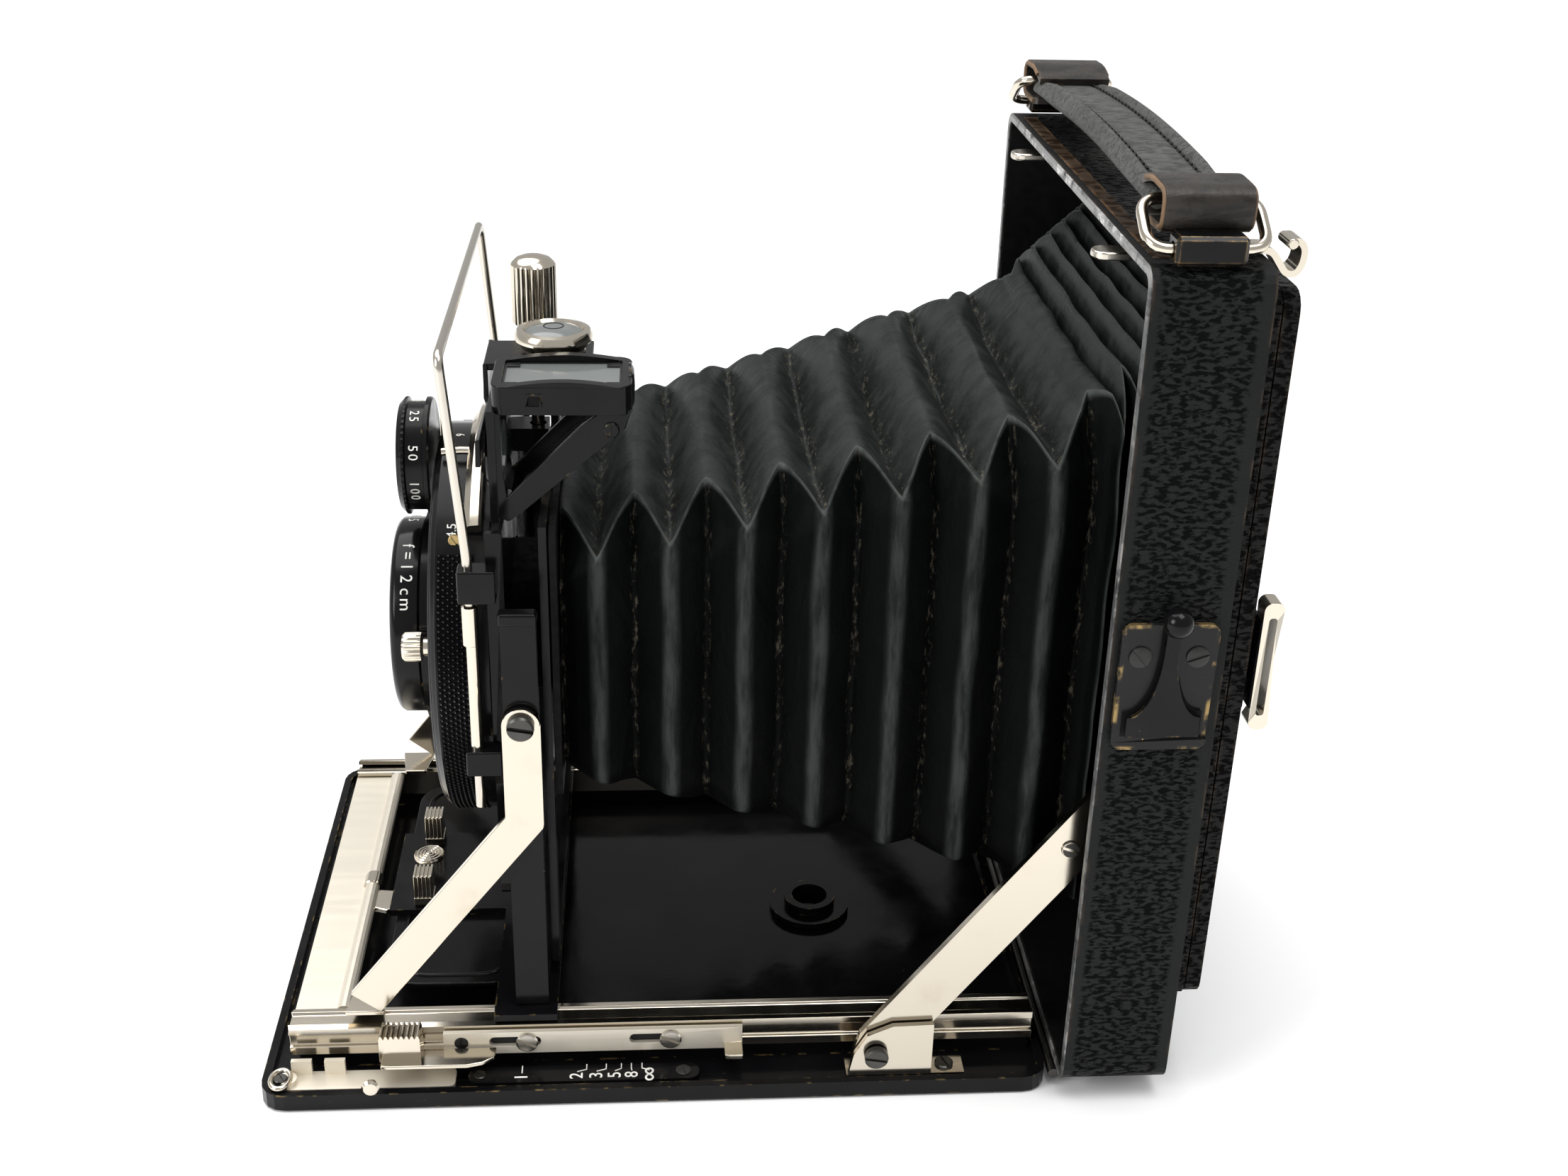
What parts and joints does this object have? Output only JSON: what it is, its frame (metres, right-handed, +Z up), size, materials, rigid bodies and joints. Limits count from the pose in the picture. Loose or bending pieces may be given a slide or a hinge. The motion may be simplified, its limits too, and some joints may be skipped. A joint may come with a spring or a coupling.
{
  "type": "folding plate camera",
  "caption": "Folding drop-bed plate camera standing open: leather case, pleated bellows, lens standard on rails, shutter, two finders and carrying strap.",
  "frame": {"origin": "on the flat underside of the open bed, at the middle of its length and on the camera's centreline", "axes": "+Z up, lens faces -Y, plate back at +Y, +X is the side with the finder, the focusing grip and the bed latch"},
  "size_m": [0.1095, 0.1527, 0.1457],
  "materials": {
    "leather": "black pebble-grained leather with smooth worn edges",
    "strap_leather": "grey-black pebbled strap leather with brown raw edges",
    "enamel": "glossy black enamel, brassy on worn edges",
    "nickel": "warm polished nickel plate",
    "steel": "dark grey slotted screws and pins",
    "bellows": "matt black pleated leather with dusty grey-green folds",
    "glass": "coated lens glass",
    "frosted_glass": "ground focusing screen"
  },
  "bodies": {
    "bed": {"bed_plate": "enamel", "tripod_bush": "steel", "hinge_pin": "steel", "distance_scale": "enamel", "stop_bracket": "nickel", "strut_bracket_near": "nickel", "strut_bracket_far": "nickel", "strut_screw_near": "steel", "strut_screw_far": "steel"},
    "case": {"case_shell": "leather", "back_panel": "enamel", "hinge_leaf": "steel", "latch_plate": "enamel", "handle_clip_near": "enamel", "handle_clip_far": "enamel"},
    "closing_catch": {"closing_catch": "nickel"},
    "back": {"back_frame": "leather", "ground_glass": "frosted_glass"},
    "hood_lid": {"hood_lid": "leather"},
    "hood_catch": {"hood_catch": "nickel"},
    "back_catch": {"back_catch": "nickel"},
    "bed_latch": {"latch_tongue": "enamel"},
    "handle_ring_near": {"handle_ring_near": "nickel"},
    "handle_ring_far": {"handle_ring_far": "nickel"},
    "handle": {"handle_strap": "strap_leather"},
    "strut_near": {"strut_near": "nickel"},
    "strut_far": {"strut_far": "nickel"},
    "rails": {"rail_near": "nickel", "rail_far": "nickel", "cross_plate": "nickel", "focus_grip": "nickel", "index_plate": "nickel"},
    "standard": {"carriage": "enamel", "u_frame": "enamel", "rear_frame": "enamel", "brace_near": "nickel", "brace_far": "nickel", "bellows": "bellows"},
    "pinch_grip_near": {"pinch_grip_near": "nickel"},
    "pinch_grip_far": {"pinch_grip_far": "nickel"},
    "lock_button": {"lock_button": "nickel"},
    "rise_knob": {"rise_knob": "nickel"},
    "lens_panel": {"lens_board": "enamel", "bellows_front_frame": "enamel", "rear_barrel": "enamel", "rear_lens": "glass", "shutter_body": "enamel", "lens_bezel": "enamel", "front_lens": "glass", "wire_clip_near": "enamel", "wire_clip_far": "enamel", "finder_bracket": "enamel", "spirit_level": "nickel"},
    "aperture_ring": {"aperture_ring": "nickel"},
    "speed_dial": {"speed_dial": "enamel"},
    "mode_knob": {"mode_knob": "nickel"},
    "cocking_lever": {"cocking_lever": "nickel"},
    "release_lever": {"release_lever": "nickel"},
    "reflex_finder": {"reflex_finder": "enamel"},
    "wire_finder": {"wire_finder": "nickel"}
  },
  "joints": [
    {"name": "bed_fold", "type": "hinge", "parent": "bed", "child": "case", "pos_m": [0, 0.0616, 0.0019], "axis": [1, 0, 0], "range_deg": [0, 12]},
    {"name": "strut_turn_near", "type": "hinge", "parent": "bed", "child": "strut_near", "pos_m": [0.0461, 0.0325, 0.007], "axis": [1, 0, 0], "range_deg": [0, 15]},
    {"name": "strut_turn_far", "type": "hinge", "parent": "bed", "child": "strut_far", "pos_m": [-0.0461, 0.0325, 0.007], "axis": [1, 0, 0], "range_deg": [0, 15]},
    {"name": "closing_catch_slide", "type": "slide", "parent": "case", "child": "closing_catch", "axis": [1, 0, 0], "range_m": [0, 0.003], "stiffness_N_per_m": 200},
    {"name": "back_slide", "type": "slide", "parent": "case", "child": "back", "axis": [1, 0, 0], "range_m": [0, 0.09]},
    {"name": "hood_lid_hinge", "type": "hinge", "parent": "back", "child": "hood_lid", "pos_m": [-0.0466, 0.0832, 0.0732], "axis": [0, 0, 1], "range_deg": [0, 110]},
    {"name": "hood_catch_hinge", "type": "hinge", "parent": "hood_lid", "child": "hood_catch", "pos_m": [0.0436, 0.0862, 0.075], "axis": [0, 0, 1], "range_deg": [0, 35]},
    {"name": "back_catch_hinge", "type": "hinge", "parent": "case", "child": "back_catch", "pos_m": [0.0436, 0.0754, 0.137], "axis": [1, 0, 0], "range_deg": [0, 30], "stiffness_Nm_per_rad": 0.05},
    {"name": "bed_latch_hinge", "type": "hinge", "parent": "case", "child": "bed_latch", "pos_m": [0.0541, 0.07, 0.069], "axis": [0, 1, 0], "range_deg": [-1.5, 12], "stiffness_Nm_per_rad": 0.05},
    {"name": "handle_lift", "type": "slide", "parent": "case", "child": "handle", "axis": [0, 0, 1], "range_m": [0, 0.003]},
    {"name": "ring_turn_near", "type": "hinge", "parent": "case", "child": "handle_ring_near", "pos_m": [0.0498, 0.0694, 0.1381], "axis": [0, 1, 0], "range_deg": [0, 27.2]},
    {"name": "ring_turn_far", "type": "hinge", "parent": "case", "child": "handle_ring_far", "pos_m": [-0.0498, 0.0694, 0.1381], "axis": [0, -1, 0], "range_deg": [0, 27.2]},
    {"name": "focus_slide", "type": "slide", "parent": "bed", "child": "rails", "axis": [0, -1, 0], "range_m": [0, 0.02]},
    {"name": "standard_slide", "type": "slide", "parent": "rails", "child": "standard", "axis": [0, -1, 0], "range_m": [-0.024, 0], "deforming": ["bellows"]},
    {"name": "pinch_near", "type": "slide", "parent": "standard", "child": "pinch_grip_near", "axis": [-1, 0, 0], "range_m": [0, 0.003], "stiffness_N_per_m": 300},
    {"name": "pinch_far", "type": "slide", "parent": "standard", "child": "pinch_grip_far", "axis": [1, 0, 0], "range_m": [0, 0.003]},
    {"name": "lock_button_press", "type": "slide", "parent": "standard", "child": "lock_button", "axis": [0, 0, -1], "range_m": [0, 0.0012], "stiffness_N_per_m": 300},
    {"name": "rise_knob_turn", "type": "hinge", "parent": "standard", "child": "rise_knob", "pos_m": [-0.016, -0.0214, 0.11], "axis": [0, 0, 1], "range_deg": [-185, 1445]},
    {"name": "lens_rise", "type": "slide", "parent": "standard", "child": "lens_panel", "axis": [0, 0, 1], "range_m": [-0.001, 0.008]},
    {"name": "aperture_turn", "type": "hinge", "parent": "lens_panel", "child": "aperture_ring", "pos_m": [0, -0.0285, 0.0622], "axis": [0, -1, 0], "range_deg": [-25, 25]},
    {"name": "speed_dial_turn", "type": "hinge", "parent": "lens_panel", "child": "speed_dial", "pos_m": [0, -0.0396, 0.0904], "axis": [0, -1, 0], "range_deg": [-150, 150]},
    {"name": "mode_knob_turn", "type": "hinge", "parent": "lens_panel", "child": "mode_knob", "pos_m": [0.0215, -0.039, 0.067], "axis": [0, -1, 0], "range_deg": [-60, 60]},
    {"name": "cocking_lever_turn", "type": "hinge", "parent": "lens_panel", "child": "cocking_lever", "pos_m": [-0.013, -0.037, 0.0845], "axis": [0, -1, 0], "range_deg": [0, 45], "stiffness_Nm_per_rad": 0.01},
    {"name": "release_lever_turn", "type": "hinge", "parent": "lens_panel", "child": "release_lever", "pos_m": [-0.0245, -0.037, 0.056], "axis": [0, -1, 0], "range_deg": [0, 15], "stiffness_Nm_per_rad": 0.01},
    {"name": "reflex_finder_turn", "type": "hinge", "parent": "lens_panel", "child": "reflex_finder", "pos_m": [0.0212, -0.018, 0.0995], "axis": [0, 1, 0], "range_deg": [0, 90]},
    {"name": "wire_finder_slide", "type": "slide", "parent": "lens_panel", "child": "wire_finder", "axis": [0, 0, 1], "range_m": [-0.016, 0]}
  ],
  "couplings": [
    {"joint": "strut_turn_near", "follows": "bed_fold", "ratio": 1.2},
    {"joint": "strut_turn_far", "follows": "bed_fold", "ratio": 1.2},
    {"joint": "ring_turn_near", "follows": "handle_lift", "rad_per_m": 157},
    {"joint": "ring_turn_far", "follows": "handle_lift", "rad_per_m": 157},
    {"joint": "pinch_far", "follows": "pinch_near", "ratio": 1},
    {"joint": "rise_knob_turn", "follows": "lens_rise", "rad_per_m": 3141.6}
  ]
}
